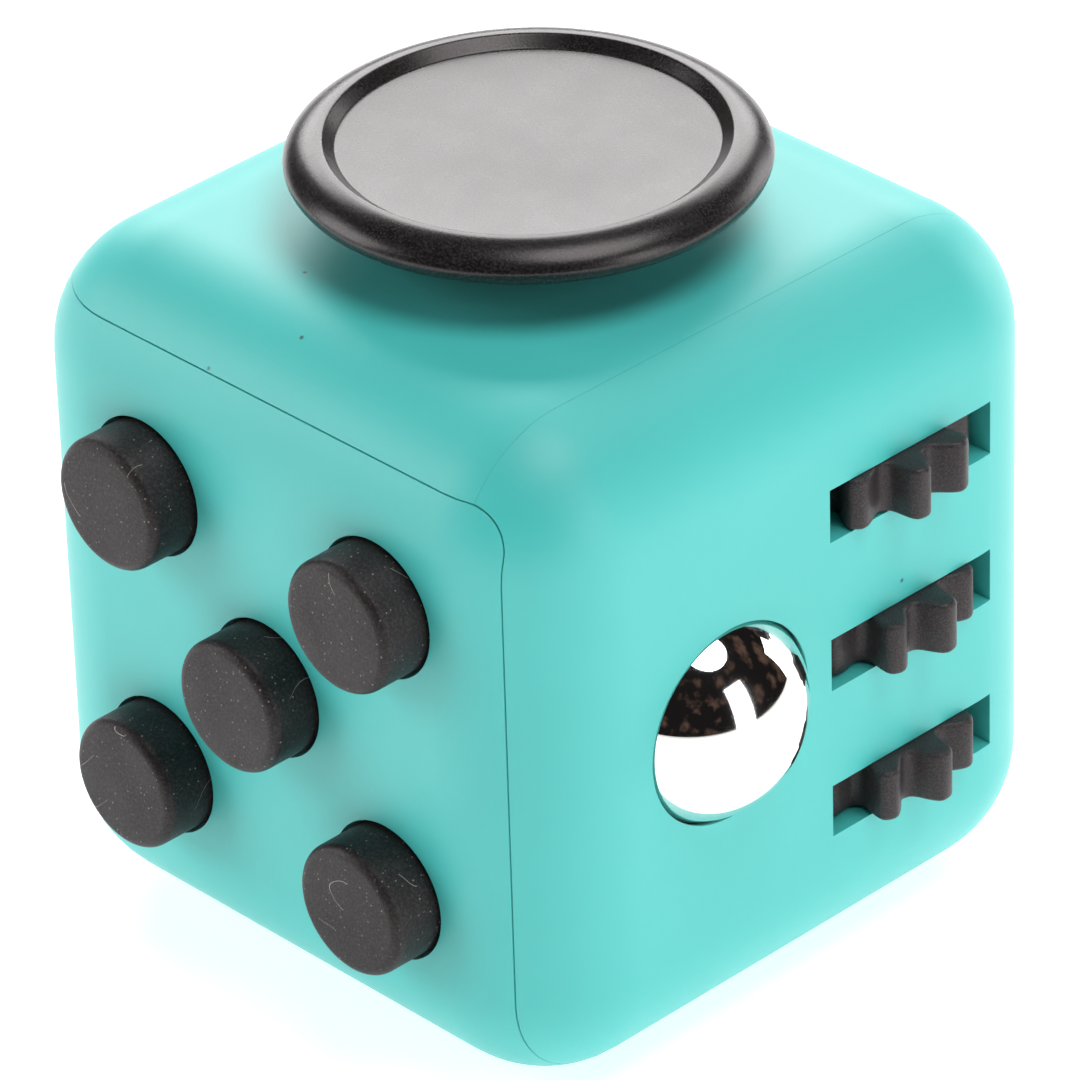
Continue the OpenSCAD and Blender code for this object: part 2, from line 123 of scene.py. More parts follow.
middle = (0, 0, 0.017)
soft_light("top_box", (0.14, 0.03, 0.46), middle, 0.30, 0.30, 1.35, shape="ELLIPSE")
soft_light("left_box", (-0.46, -0.42, 0.26), middle, 0.40, 0.40, 2.45)
soft_light("right_box", (0.55, 0.07, 0.17), middle, 0.20, 0.44, 1.25)
soft_light("back_box", (-0.46, 0.44, 0.38), middle, 0.70, 0.40, 6.0)
soft_light("far_box", (0.10, 0.66, 0.16), middle, 0.34, 0.30, 1.2)

room = bpy.data.worlds.new("room")
room.use_nodes = True
backdrop = room.node_tree.nodes["Background"]
backdrop.inputs["Strength"].default_value = 0.10
clutter = room.node_tree.nodes.new("ShaderNodeTexNoise")
clutter.inputs["Scale"].default_value = 4
clutter.inputs["Detail"].default_value = 6
browns = room.node_tree.nodes.new("ShaderNodeValToRGB")
browns.color_ramp.elements[0].position = 0.50
browns.color_ramp.elements[0].color = (0.10, 0.09, 0.09, 1)
browns.color_ramp.elements[1].position = 0.66
browns.color_ramp.elements[1].color = (1.0, 0.62, 0.48, 1)
room.node_tree.links.new(clutter.outputs["Fac"], browns.inputs["Fac"])
room.node_tree.links.new(browns.outputs["Color"], backdrop.inputs["Color"])
bpy.context.scene.world = room
bpy.context.scene.view_settings.view_transform = "Standard"


# ---------------------------------------------------------------------------
# Shell: three parts moulded in satin turquoise ABS. The body has the front,
# left, back and bottom; a cover closes the top and another the right side.
# They meet in thin seams, and bosses inside take the screws.
MM = 0.001
FACE = 16.5
LEVEL = FACE
HALF = FACE * MM
MID = LEVEL * MM
EDGE_R = 6 * MM
WALL = 2 * MM
INNER = HALF - WALL
SEAM_X = 13.8 * MM
COVER_SEAM = 12.1
COVER_GAP = 0.006
SEAM_TOP_X = COVER_SEAM * MM
SEAM_Z = 30.25 * MM
SEAM_R = 2 * MM
SEAM = 0.032 * MM
SHARP = math.radians(28)
WELD = 2e-6
X_AXIS, Y_AXIS, Z_AXIS = Vector((1, 0, 0)), Vector((0, 1, 0)), Vector((0, 0, 1))


def to_object(bm, name):
    """Makes an object of a bmesh and frees the bmesh."""
    mesh = bpy.data.meshes.new(name)
    bm.to_mesh(mesh)
    bm.free()
    o = bpy.data.objects.new(name, mesh)
    bpy.context.scene.collection.objects.link(o)
    return o


def rounded_block(half, radius, segments):
    """A cube with rounded edges about the middle of the toy."""
    bm = bmesh.new()
    bmesh.ops.create_cube(bm, size=2 * half, matrix=Matrix.Translation((0, 0, MID)))
    bmesh.ops.bevel(
        bm, geom=bm.edges[:], offset=radius, offset_type="OFFSET", affect="EDGES", segments=segments,
        profile=0.5, material=-1)
    return bm


def add_box(bm, low, high):
    """A box between two corners, in millimetres."""
    low, high = Vector(low) * MM, Vector(high) * MM
    size = high - low
    place = Matrix.Translation((low + high) / 2) @ Matrix.Diagonal((*size, 1))
    bmesh.ops.create_cube(bm, size=1, matrix=place)


def add_rod(bm, axis, r, start, end, segments=64):
    """A rod along an axis; start and end are points on it, in millimetres."""
    start, end = Vector(start) * MM, Vector(end) * MM
    spin = Z_AXIS.rotation_difference(axis).to_matrix().to_4x4()
    bmesh.ops.create_cone(
        bm, cap_ends=True, segments=segments, radius1=r * MM, radius2=r * MM,
        depth=(end - start).length, matrix=Matrix.Translation((start + end) / 2) @ spin)


def combine(target, bm, operation):
    """Cuts, keeps or adds what the bmesh holds."""
    tool = to_object(bm, "tool")
    step = target.modifiers.new("step", "BOOLEAN")
    step.operation = operation
    step.solver = "EXACT"
    step.object = tool
    bpy.context.view_layer.update()
    made = bpy.data.meshes.new_from_object(target.evaluated_get(bpy.context.evaluated_depsgraph_get()))
    target.modifiers.clear()
    target.data = made
    bpy.data.objects.remove(tool)


def body_region(grow):
    """All but a strip at the top and right, with the seam's rounded corner, as a bmesh."""
    bm = bmesh.new()
    add_box(bm, (-40, -40, -20), ((SEAM_X + grow) / MM, 40, (SEAM_Z + grow) / MM))
    corner = [e for e in bm.edges if all(v.co.x > 0 and v.co.z > MID for v in e.verts)]
    bmesh.ops.bevel(
        bm, geom=corner, offset=SEAM_R, offset_type="OFFSET", affect="EDGES", segments=16, profile=0.5,
        material=-1)
    return bm


def finish_shell(o, body, nodes_replaced):
    """Rounds the moulded edges a little, less where the two covers meet, and shades it smooth."""
    bm = bmesh.new()
    bm.from_mesh(o.data)
    bmesh.ops.remove_doubles(bm, verts=bm.verts[:], dist=WELD)
    bmesh.ops.dissolve_degenerate(bm, edges=bm.edges[:], dist=WELD)
    bmesh.ops.dissolve_limit(bm, angle_limit=math.radians(0.2), verts=bm.verts[:], edges=bm.edges[:])
    weight = bm.edges.layers.float.new("bevel_weight_edge")
    for e in bm.edges:
        sharp = len(e.link_faces) == 2 and e.calc_face_angle(0) > SHARP
        if sharp:
            at_cover_seam = all(abs(v.co.x - SEAM_TOP_X) < 0.2 * MM for v in e.verts)
            e[weight] = 0.12 if at_cover_seam else 1.0
    for f in bm.faces:
        f.smooth = True
    bm.to_mesh(o.data)
    bm.free()
    o.data.set_sharp_from_angle(angle=SHARP)
    rounding = o.modifiers.new("rounding", "BEVEL")
    rounding.limit_method = "WEIGHT"
    rounding.width = 0.12 * MM
    rounding.segments = 2
    rounding.harden_normals = True
    rounding.use_clamp_overlap = True
    o.data.materials.append(turquoise)
    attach(o, body)
    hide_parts(*nodes_replaced)


turquoise, nodes, links, shader = material(
    "turquoise_abs", (0.052, 0.50, 0.47), 0.42,
    Specular_IOR_Level=0.7, Sheen_Weight=0.16, Sheen_Roughness=0.35)
coordinates = nodes.new("ShaderNodeTexCoord")
spread = nodes.new("ShaderNodeTexNoise")
spread.inputs["Scale"].default_value = 90
spread.inputs["Detail"].default_value = 3
tint = nodes.new("ShaderNodeValToRGB")
tint.color_ramp.elements[0].position = 0.3
tint.color_ramp.elements[0].color = (0.050, 0.485, 0.455, 1)
tint.color_ramp.elements[1].position = 0.75
tint.color_ramp.elements[1].color = (0.055, 0.515, 0.485, 1)
grain = nodes.new("ShaderNodeTexNoise")
grain.inputs["Scale"].default_value = 9000
grain.inputs["Detail"].default_value = 2
rough_range = nodes.new("ShaderNodeMapRange")
rough_range.inputs["To Min"].default_value = 0.44
rough_range.inputs["To Max"].default_value = 0.56
bump = nodes.new("ShaderNodeBump")
bump.inputs["Strength"].default_value = 0.10
bump.inputs["Distance"].default_value = 0.00002
for pattern in (spread, grain):
    links.new(coordinates.outputs["Object"], pattern.inputs["Vector"])
specks = nodes.new("ShaderNodeTexVoronoi")
specks.inputs["Scale"].default_value = 330
dot = nodes.new("ShaderNodeMapRange")
dot.inputs["From Min"].default_value = 0.045
dot.inputs["From Max"].default_value = 0.018
separate = nodes.new("ShaderNodeSeparateColor")
chosen = nodes.new("ShaderNodeMath")
chosen.operation = "GREATER_THAN"
chosen.inputs[1].default_value = 0.62
marked = nodes.new("ShaderNodeMath")
marked.operation = "MULTIPLY"
dirt = nodes.new("ShaderNodeMix")
dirt.data_type = "RGBA"
dirt.inputs["B"].default_value = (0.02, 0.09, 0.09, 1)
links.new(coordinates.outputs["Object"], specks.inputs["Vector"])
links.new(specks.outputs["Distance"], dot.inputs["Value"])
links.new(specks.outputs["Color"], separate.inputs["Color"])
links.new(separate.outputs["Green"], chosen.inputs[0])
links.new(dot.outputs["Result"], marked.inputs[0])
links.new(chosen.outputs["Value"], marked.inputs[1])
links.new(marked.outputs["Value"], dirt.inputs["Factor"])
links.new(spread.outputs["Fac"], tint.inputs["Fac"])
links.new(tint.outputs["Color"], dirt.inputs["A"])
links.new(dirt.outputs["Result"], shader.inputs["Base Color"])
links.new(grain.outputs["Fac"], rough_range.inputs["Value"])
links.new(rough_range.outputs["Result"], shader.inputs["Roughness"])
links.new(grain.outputs["Fac"], bump.inputs["Height"])
links.new(bump.outputs["Normal"], shader.inputs["Normal"])

BUTTONS = {
    "upper_left": (-7.15, 23.65), "upper_right": (7.15, 23.65), "centre": (0, LEVEL),
    "lower_left": (-7.15, 9.35), "lower_right": (7.15, 9.35)}
BALL_R = 5.15
BALL_SHOWN_R = 4.55
BALL_X = FACE - math.sqrt(BALL_R ** 2 - BALL_SHOWN_R ** 2)
BALL_Y = -4.9
ROLLER_X, ROLLER_Y = 13.35, 6.3
ROLLER_PITCH = 7.5
ROLLER_LEVELS = {"upper": LEVEL + ROLLER_PITCH, "middle": LEVEL, "lower": LEVEL - ROLLER_PITCH}
SLOT_LENGTH, SLOT_HEIGHT = 10.05, 2.62

SCREW_HOLE_R = 0.7
BOSS_R = 1.6
BUTTON_HOLE_R = 3.28
BUTTON_PLATE_SCREWS = ((0, 25.6), (0, 7.4), (-9.1, LEVEL))
YOKE_SCREWS = (-8, 8)
DISC_SCREWS = ((-9.2, 0), (9.2, 0), (0, 9.2))
BALL_PLATE_SCREWS = (8.3, 24.7)
BRACKET_SCREWS = ((9.4, 12.75), (3.2, 20.25))
THUMB_HOLLOW_R = 35.36
THUMB_HOLLOW_DEEP = 1.3
THUMB_PAD_R = 9.5
STEM_HOLE_R = 4.2
DIAL_BORE_R = 2.66
PIN_GROOVE_R = 0.76
ROCKER_WINDOW = ((-18, -4.4, 9.1), (-13, 4.4, 23.9))
BALL_BOSS_R, BALL_BORE_R, BALL_SEAT_R, BALL_MOUTH_R = 6.0, 5.25, 5.245, 4.72
PIVOT_X = -15.1

main_body = to_object(rounded_block(HALF, EDGE_R, 14), "turquoise_body")
combine(main_body, rounded_block(INNER, EDGE_R - WALL, 6), "DIFFERENCE")
combine(main_body, body_region(-SEAM), "INTERSECT")
bosses = bmesh.new()
for x, z in BUTTON_PLATE_SCREWS:
    add_rod(bosses, Y_AXIS, BOSS_R, (x, -14.7, z), (x, -11.95, z), 32)
for y in YOKE_SCREWS:
    add_rod(bosses, X_AXIS, BOSS_R, (-14.7, y, LEVEL), (-10.4, y, LEVEL), 32)
add_rod(bosses, Z_AXIS, THUMB_PAD_R, (0, 0, 1.9), (0, 0, 3.1), 96)
combine(main_body, bosses, "UNION")
cuts = bmesh.new()
for x, z in BUTTONS.values():
    add_rod(cuts, Y_AXIS, BUTTON_HOLE_R, (x, -18, z), (x, -13.5, z), 96)
for x, z in BUTTON_PLATE_SCREWS:
    add_rod(cuts, Y_AXIS, SCREW_HOLE_R, (x, -13.2, z), (x, -10, z), 24)
for y in YOKE_SCREWS:
    add_rod(cuts, X_AXIS, SCREW_HOLE_R, (-13.6, y, LEVEL), (-9, y, LEVEL), 24)
add_rod(cuts, Y_AXIS, DIAL_BORE_R, (0, 13, LEVEL), (0, 18, LEVEL), 64)
add_box(cuts, *ROCKER_WINDOW)
combine(main_body, cuts, "DIFFERENCE")
dish = bmesh.new()
bmesh.ops.create_uvsphere(
    dish, u_segments=192, v_segments=256, radius=THUMB_HOLLOW_R * MM,
    matrix=Matrix.Translation((0, 0, (THUMB_HOLLOW_DEEP - THUMB_HOLLOW_R) * MM)))
combine(main_body, dish, "DIFFERENCE")
groove = bmesh.new()
for side in (-1, 1):
    low, high = sorted((side * 4.3, side * 5.8))
    add_rod(groove, Y_AXIS, PIN_GROOVE_R, (PIVOT_X, low, LEVEL), (PIVOT_X, high, LEVEL), 32)
combine(main_body, groove, "DIFFERENCE")
finish_shell(main_body, "cube", ["main_body"])

top_cover = to_object(rounded_block(HALF, EDGE_R, 14), "turquoise_top_cover")
combine(top_cover, rounded_block(INNER, EDGE_R - WALL, 6), "DIFFERENCE")
slab = bmesh.new()
add_box(slab, (-40, -40, 0), (COVER_SEAM - COVER_GAP, 40, 60))
combine(top_cover, slab, "INTERSECT")
combine(top_cover, body_region(SEAM), "DIFFERENCE")
bosses = bmesh.new()
for x, y in DISC_SCREWS:
    add_rod(bosses, Z_AXIS, BOSS_R, (x, y, 24.8), (x, y, 31.2), 32)
combine(top_cover, bosses, "UNION")
cuts = bmesh.new()
add_rod(cuts, Z_AXIS, STEM_HOLE_R, (0, 0, 30), (0, 0, 34), 96)
for x, y in DISC_SCREWS:
    add_rod(cuts, Z_AXIS, SCREW_HOLE_R, (x, y, 23), (x, y, 30.5), 24)
combine(top_cover, cuts, "DIFFERENCE")
finish_shell(top_cover, "cube", ["top_cover"])

right_cover = to_object(rounded_block(HALF, EDGE_R, 14), "turquoise_right_cover")
combine(right_cover, rounded_block(INNER, EDGE_R - WALL, 6), "DIFFERENCE")
slab = bmesh.new()
add_box(slab, (COVER_SEAM + COVER_GAP, -40, -40), (40, 40, 60))
combine(right_cover, slab, "INTERSECT")
combine(right_cover, body_region(SEAM), "DIFFERENCE")
bosses = bmesh.new()
add_rod(bosses, X_AXIS, BALL_BOSS_R, (BALL_X - 2.6, BALL_Y, LEVEL), (14.7, BALL_Y, LEVEL), 96)
for z in BALL_PLATE_SCREWS:
    add_rod(bosses, X_AXIS, BOSS_R, (6.6, BALL_Y, z), (14.7, BALL_Y, z), 32)
for y, z in BRACKET_SCREWS:
    add_rod(bosses, X_AXIS, 1.5, (8.1, y, z), (14.7, y, z), 32)
combine(right_cover, bosses, "UNION")
cuts = bmesh.new()
for z in ROLLER_LEVELS.values():
    slot_low = (13.5, ROLLER_Y - SLOT_LENGTH / 2, z - SLOT_HEIGHT / 2)
    slot_high = (18, ROLLER_Y + SLOT_LENGTH / 2, z + SLOT_HEIGHT / 2)
    add_box(cuts, slot_low, slot_high)
for z in BALL_PLATE_SCREWS:
    add_rod(cuts, X_AXIS, SCREW_HOLE_R, (5, BALL_Y, z), (13.5, BALL_Y, z), 24)
for y, z in BRACKET_SCREWS:
    add_rod(cuts, X_AXIS, SCREW_HOLE_R, (6, y, z), (13.5, y, z), 24)
combine(right_cover, cuts, "DIFFERENCE")
bore = bmesh.new()
add_rod(bore, X_AXIS, BALL_BORE_R, (10, BALL_Y, LEVEL), (BALL_X, BALL_Y, LEVEL), 128)
combine(right_cover, bore, "DIFFERENCE")
seat = bmesh.new()
bmesh.ops.create_uvsphere(
    seat, u_segments=128, v_segments=96, radius=BALL_SEAT_R * MM,
    matrix=Matrix.Translation((BALL_X * MM, BALL_Y * MM, MID)) @ Matrix.Rotation(math.radians(90), 4, "Y"))
combine(right_cover, seat, "DIFFERENCE")
mouth = bmesh.new()
add_rod(mouth, X_AXIS, BALL_MOUTH_R, (15.5, BALL_Y, LEVEL), (18, BALL_Y, LEVEL), 128)
combine(right_cover, mouth, "DIFFERENCE")
finish_shell(right_cover, "cube", ["right_cover"])


# ---------------------------------------------------------------------------
# Buttons: five caps in matt black ABS, turned smooth with a rounded rim, a
# flange that stops behind the wall and a nub for the dome. They have picked
# up a little pale dust and lint.
def lathe(name, profile, axis, centre, segments=96):
    """Turns a profile of (radius, height) in millimetres about an axis through a point."""
    bm = bmesh.new()
    verts = [bm.verts.new((r * MM, 0, h * MM)) for r, h in profile]
    edges = [bm.edges.new(pair) for pair in zip(verts, verts[1:])]
    bmesh.ops.spin(
        bm, geom=verts + edges, cent=(0, 0, 0), axis=(0, 0, 1), angle=math.tau, steps=segments,
        use_merge=True)
    bmesh.ops.remove_doubles(bm, verts=bm.verts[:], dist=1e-7)
    bmesh.ops.recalc_face_normals(bm, faces=bm.faces[:])
    turn_to = Z_AXIS.rotation_difference(axis).to_matrix().to_4x4()
    place = Matrix.Translation(Vector(centre) * MM) @ turn_to
    bmesh.ops.transform(bm, matrix=place, verts=bm.verts[:])
    for f in bm.faces:
        f.smooth = True
    o = to_object(bm, name)
    o.data.set_sharp_from_angle(angle=math.radians(40))
    return o


def arc(r, h, radius, start, end, steps):
    """Points of an arc about (r, h) from one angle to another."""
    angles = [math.radians(start + (end - start) * i / steps) for i in range(steps + 1)]
    return [(r + radius * math.cos(a), h + radius * math.sin(a)) for a in angles]


def black_plastic(
        name, base, rough_low, rough_high, grain_scale, grain_depth, dust, shine=0.3, speckle=0.014):
    """Black moulding: fine spark-eroded grain, faint handling marks and, if asked, dust and lint."""
    m, nodes, links, shader = material(
        name, base, rough_low, Specular_IOR_Level=shine, Specular_Tint=(1, 0.92, 0.93, 1))
    coordinates = nodes.new("ShaderNodeTexCoord")
    grain = nodes.new("ShaderNodeTexNoise")
    grain.inputs["Scale"].default_value = grain_scale
    grain.inputs["Detail"].default_value = 3
    marks = nodes.new("ShaderNodeTexNoise")
    marks.inputs["Scale"].default_value = 500
    marks.inputs["Detail"].default_value = 4
    rough_range = nodes.new("ShaderNodeMapRange")
    rough_range.inputs["From Min"].default_value = 0.3
    rough_range.inputs["From Max"].default_value = 0.7
    rough_range.inputs["To Min"].default_value = rough_low
    rough_range.inputs["To Max"].default_value = rough_high
    bump = nodes.new("ShaderNodeBump")
    bump.inputs["Strength"].default_value = grain_depth
    bump.inputs["Distance"].default_value = 0.00003
    tone = nodes.new("ShaderNodeValToRGB")
    tone.color_ramp.elements[0].position = 0.42
    tone.color_ramp.elements[0].color = (*(0.6 * v for v in base), 1)
    tone.color_ramp.elements[1].position = 0.68
    tone.color_ramp.elements[1].color = (*(v + speckle for v in base), 1)
    for pattern in (grain, marks):
        links.new(coordinates.outputs["Object"], pattern.inputs["Vector"])
    links.new(grain.outputs["Fac"], tone.inputs["Fac"])
    links.new(tone.outputs["Color"], shader.inputs["Base Color"])
    links.new(marks.outputs["Fac"], rough_range.inputs["Value"])
    links.new(rough_range.outputs["Result"], shader.inputs["Roughness"])
    links.new(grain.outputs["Fac"], bump.inputs["Height"])
    links.new(bump.outputs["Normal"], shader.inputs["Normal"])
    if dust:
        specks = nodes.new("ShaderNodeTexVoronoi")
        specks.inputs["Scale"].default_value = 4600
        dot = nodes.new("ShaderNodeMapRange")
        dot.inputs["From Min"].default_value = 0.24
        dot.inputs["From Max"].default_value = 0.10
        chosen = nodes.new("ShaderNodeMapRange")
        chosen.inputs["From Min"].default_value = dust
        chosen.inputs["From Max"].default_value = 1.15
        separate = nodes.new("ShaderNodeSeparateColor")
        both = nodes.new("ShaderNodeMath")
        both.operation = "MULTIPLY"
        lint = nodes.new("ShaderNodeTexNoise")
        lint.inputs["Scale"].default_value = 420
        lint.inputs["Detail"].default_value = 0
        near = nodes.new("ShaderNodeMath")
        near.operation = "COMPARE"
        near.inputs[1].default_value = 0.5
        near.inputs[2].default_value = 0.0022
        patch = nodes.new("ShaderNodeTexNoise")
        patch.inputs["Scale"].default_value = 300
        patch.inputs["Detail"].default_value = 0
        placed = nodes.new("ShaderNodeMath")
        placed.operation = "GREATER_THAN"
        placed.inputs[1].default_value = 0.64
        thread = nodes.new("ShaderNodeMath")
        thread.operation = "MULTIPLY"
        total = nodes.new("ShaderNodeMath")
        total.operation = "MAXIMUM"
        mix = nodes.new("ShaderNodeMix")
        mix.data_type = "RGBA"
        mix.inputs["B"].default_value = (0.34, 0.31, 0.28, 1)
        for pattern in (specks, lint, patch):
            links.new(coordinates.outputs["Object"], pattern.inputs["Vector"])
        links.new(specks.outputs["Distance"], dot.inputs["Value"])
        links.new(specks.outputs["Color"], separate.inputs["Color"])
        links.new(separate.outputs["Red"], chosen.inputs["Value"])
        links.new(dot.outputs["Result"], both.inputs[0])
        links.new(chosen.outputs["Result"], both.inputs[1])
        links.new(lint.outputs["Fac"], near.inputs[0])
        links.new(patch.outputs["Fac"], placed.inputs[0])
        links.new(near.outputs["Value"], thread.inputs[0])
        links.new(placed.outputs["Value"], thread.inputs[1])
        links.new(both.outputs["Value"], total.inputs[0])
        links.new(thread.outputs["Value"], total.inputs[1])
        links.new(total.outputs["Value"], mix.inputs["Factor"])
        links.new(tone.outputs["Color"], mix.inputs["A"])
        links.new(mix.outputs["Result"], shader.inputs["Base Color"])
    return m


button_black = black_plastic("button_black", (0.013, 0.0095, 0.0105), 0.46, 0.56, 8000, 0.3, 0.6)
CAP_R = 3.1
CAP_TOP = 18.9
CAP_RIM_R = 0.5
NUB_R = 0.9
FLANGE_R = 3.75
for place, (x, z) in BUTTONS.items():
    profile = [(0, 12.9), (NUB_R, 12.9), (NUB_R, 13.7), (FLANGE_R, 13.7), (FLANGE_R, 14.4), (CAP_R, 14.4)]
    profile += arc(CAP_R - CAP_RIM_R, CAP_TOP - CAP_RIM_R, CAP_RIM_R, 0, 90, 8)
    profile += [(1.3, CAP_TOP), (0, CAP_TOP)]
    cap = lathe("button_cap_" + place, profile, -Y_AXIS, (x, 0, z))
    cap.data.materials.append(button_black)
    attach(cap, "press_" + place)
    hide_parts("button_" + place)


# ---------------------------------------------------------------------------
# Thumb disc: a dished disc in grained black plastic on a round stem, screwed
# to the pivot cap from below, so that it tilts and springs back level.
disc_black = black_plastic("disc_black", (0.006, 0.0045, 0.005), 0.26, 0.30, 10000, 0.15, 0, 0.42, 0.022)
DISC_R = 10.55
DISC_LOW = 35.1
DISC_TOP = 37.0
STEM_R = 2.0
DISH = 0.5
WAIST = DISC_LOW + 0.9
profile = [(0.7, 31.8), (STEM_R, 31.8), (STEM_R, 34.8)] + arc(2.3, 34.8, 0.3, 180, 90, 4)
profile += [(DISC_R - 2.5, DISC_LOW)]
for degrees in range(-90, 1, 9):
    a = math.radians(degrees)
    profile += [(DISC_R - 1.2 + 1.2 * math.cos(a), WAIST + 0.9 * math.sin(a))]
for degrees in range(6, 91, 6):
    a = math.radians(degrees)
    profile += [(DISC_R - 1.47 + 1.47 * math.cos(a) ** 1.25, WAIST + math.sin(a) ** 1.25)]
profile += arc(8.92, DISC_TOP - 0.2, 0.2, 80, 140, 4) + arc(8.18, DISC_TOP - 0.25, 0.25, -40, -90, 4)
profile += [(4, DISC_TOP - DISH), (0, DISC_TOP - DISH)]
disc = lathe("dished_thumb_disc", profile, Z_AXIS, (0, 0, 0), 160)
disc.data.materials.append(disc_black)
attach(disc, "joystick")
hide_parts("thumb_disc")


# ---------------------------------------------------------------------------
# Ball: a polished steel bearing ball. It sits loose in its bore, where the
# smaller mouth of the hole keeps it in, and is free to roll.
chrome, nodes, links, shader = material("polished_steel", (0.93, 0.92, 0.90), 0.04, Metallic=1.0)
coordinates = nodes.new("ShaderNodeTexCoord")
smear = nodes.new("ShaderNodeTexNoise")
smear.inputs["Scale"].default_value = 350
smear.inputs["Detail"].default_value = 5
rough_range = nodes.new("ShaderNodeMapRange")
rough_range.inputs["From Min"].default_value = 0.35
rough_range.inputs["From Max"].default_value = 0.75
rough_range.inputs["To Min"].default_value = 0.03
rough_range.inputs["To Max"].default_value = 0.10
links.new(coordinates.outputs["Object"], smear.inputs["Vector"])
links.new(smear.outputs["Fac"], rough_range.inputs["Value"])
links.new(rough_range.outputs["Result"], shader.inputs["Roughness"])
bm = bmesh.new()
bmesh.ops.create_icosphere(
    bm, subdivisions=6, radius=BALL_R * MM,
    matrix=Matrix.Translation((BALL_X * MM, BALL_Y * MM, MID)))
for f in bm.faces:
    f.smooth = True
ball = to_object(bm, "polished_ball")
ball.data.materials.append(chrome)
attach(ball, "ball")
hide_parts("steel_ball")


# ---------------------------------------------------------------------------
# Rollers: three wheels in black plastic on one steel axle, each moulded with
# ten round lobes and valleys as wide as the lobes, for a fingertip to turn.
roller_black = black_plastic("roller_black", (0.034, 0.028, 0.030), 0.40, 0.52, 12000, 0.4, 0)
ROLLER_R, ROLLER_ROOT, ROLLER_T = 4.95, 3.65, 2.5
LOBES = 10
SQUARENESS = 0.4
mean_r = (ROLLER_R + ROLLER_ROOT) / 2
half_depth = (ROLLER_R - ROLLER_ROOT) / 2
for place, turned in (("upper", 25), ("middle", 9.5), ("lower", 5)):
    z = ROLLER_LEVELS[place]
    bm = bmesh.new()
    bmesh.ops.create_circle(bm, cap_ends=False, segments=240, radius=1)
    for v in bm.verts:
        a = math.atan2(v.co.y, v.co.x)
        wave = math.cos(LOBES * a)
        r = mean_r + half_depth * (wave + SQUARENESS * wave * (1 - wave * wave))
        at = a + math.radians(turned)
        v.co = Vector((r * math.cos(at), r * math.sin(at), 0)) * MM
    hole = bmesh.ops.create_circle(bm, cap_ends=False, segments=240, radius=1.05 * MM)["verts"]
    bmesh.ops.rotate(bm, verts=hole, cent=(0, 0, 0), matrix=Matrix.Rotation(math.radians(turned), 3, "Z"))
    bmesh.ops.bridge_loops(bm, edges=bm.edges[:])
    lifted = bmesh.ops.extrude_face_region(bm, geom=bm.faces[:])["geom"]
    raised = [g for g in lifted if isinstance(g, bmesh.types.BMVert)]
    bmesh.ops.translate(bm, vec=(0, 0, ROLLER_T * MM), verts=raised)
    bmesh.ops.recalc_face_normals(bm, faces=bm.faces[:])
    edges = [e for e in bm.edges if len(e.link_faces) == 2 and e.calc_face_angle(0) > math.radians(60)
             and e.verts[0].co.xy.length > 3 * MM]
    bmesh.ops.bevel(
        bm, geom=edges, offset=0.22 * MM, offset_type="OFFSET", affect="EDGES", segments=3, profile=0.5,
        material=-1)
    bmesh.ops.translate(bm, vec=(ROLLER_X * MM, ROLLER_Y * MM, (z - ROLLER_T / 2) * MM), verts=bm.verts[:])
    for f in bm.faces:
        f.smooth = True
    wheel = to_object(bm, "lobed_roller_" + place)
    wheel.data.set_sharp_from_angle(angle=math.radians(40))
    wheel.data.materials.append(roller_black)
    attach(wheel, "roller_" + place + "_body")
    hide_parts("roller_" + place)


# ---------------------------------------------------------------------------
# Spin dial: a flat black wheel on the back with grip scallops round its edge
# and a fingertip hollow near the rim. Its hub runs through the wall.
dial_black = black_plastic("dial_black", (0.012, 0.010, 0.0105), 0.42, 0.52, 9000, 0.3, 0)
DIAL_R = 9.6
DIAL_BASE, DIAL_T = 16.7, 2.2
SCALLOPS = 18
SCALLOP_DEEP = 0.25
EDGE_ANGLE = math.radians(35)
bm = bmesh.new()
bmesh.ops.create_circle(bm, cap_ends=True, segments=288, radius=1)
for v in bm.verts:
    a = math.atan2(v.co.y, v.co.x)
    scallop = max(0, math.cos(SCALLOPS * a) - 0.35) / 0.65
    r = DIAL_R - SCALLOP_DEEP * scallop ** 0.7
    v.co = Vector((r * math.cos(a), r * math.sin(a), DIAL_BASE)) * MM
lifted = bmesh.ops.extrude_face_region(bm, geom=bm.faces[:])["geom"]
raised = [g for g in lifted if isinstance(g, bmesh.types.BMVert)]
bmesh.ops.translate(bm, vec=(0, 0, DIAL_T * MM), verts=raised)
bmesh.ops.recalc_face_normals(bm, faces=bm.faces[:])
for f in bm.faces:
    f.smooth = True
edges = [e for e in bm.edges if len(e.link_faces) == 2 and e.calc_face_angle(0) > math.radians(60)]
bmesh.ops.bevel(
    bm, geom=edges, offset=0.4 * MM, offset_type="OFFSET", affect="EDGES", segments=5, profile=0.5,
    material=-1)
bmesh.ops.rotate(bm, verts=bm.verts[:], cent=(0, 0, 0), matrix=Matrix.Rotation(math.radians(-90), 3, "X"))
bmesh.ops.translate(bm, vec=(0, 0, MID), verts=bm.verts[:])
dial = to_object(bm, "scalloped_spin_dial")
hub = bmesh.new()
add_rod(hub, Y_AXIS, 2.6, (0, 14.05, LEVEL), (0, 17, LEVEL), 64)
combine(dial, hub, "UNION")
hollow = bmesh.new()
bmesh.ops.create_uvsphere(
    hollow, u_segments=96, v_segments=64, radius=2.8 * MM,
    matrix=Matrix.Translation((0, 20.5 * MM, MID + 5.6 * MM)))
add_rod(hollow, Y_AXIS, 0.7, (0, 13, LEVEL), (0, 16.1, LEVEL), 24)
combine(dial, hollow, "DIFFERENCE")
dial.data.set_sharp_from_angle(angle=EDGE_ANGLE)
softened = dial.modifiers.new("softened", "BEVEL")
softened.limit_method = "ANGLE"
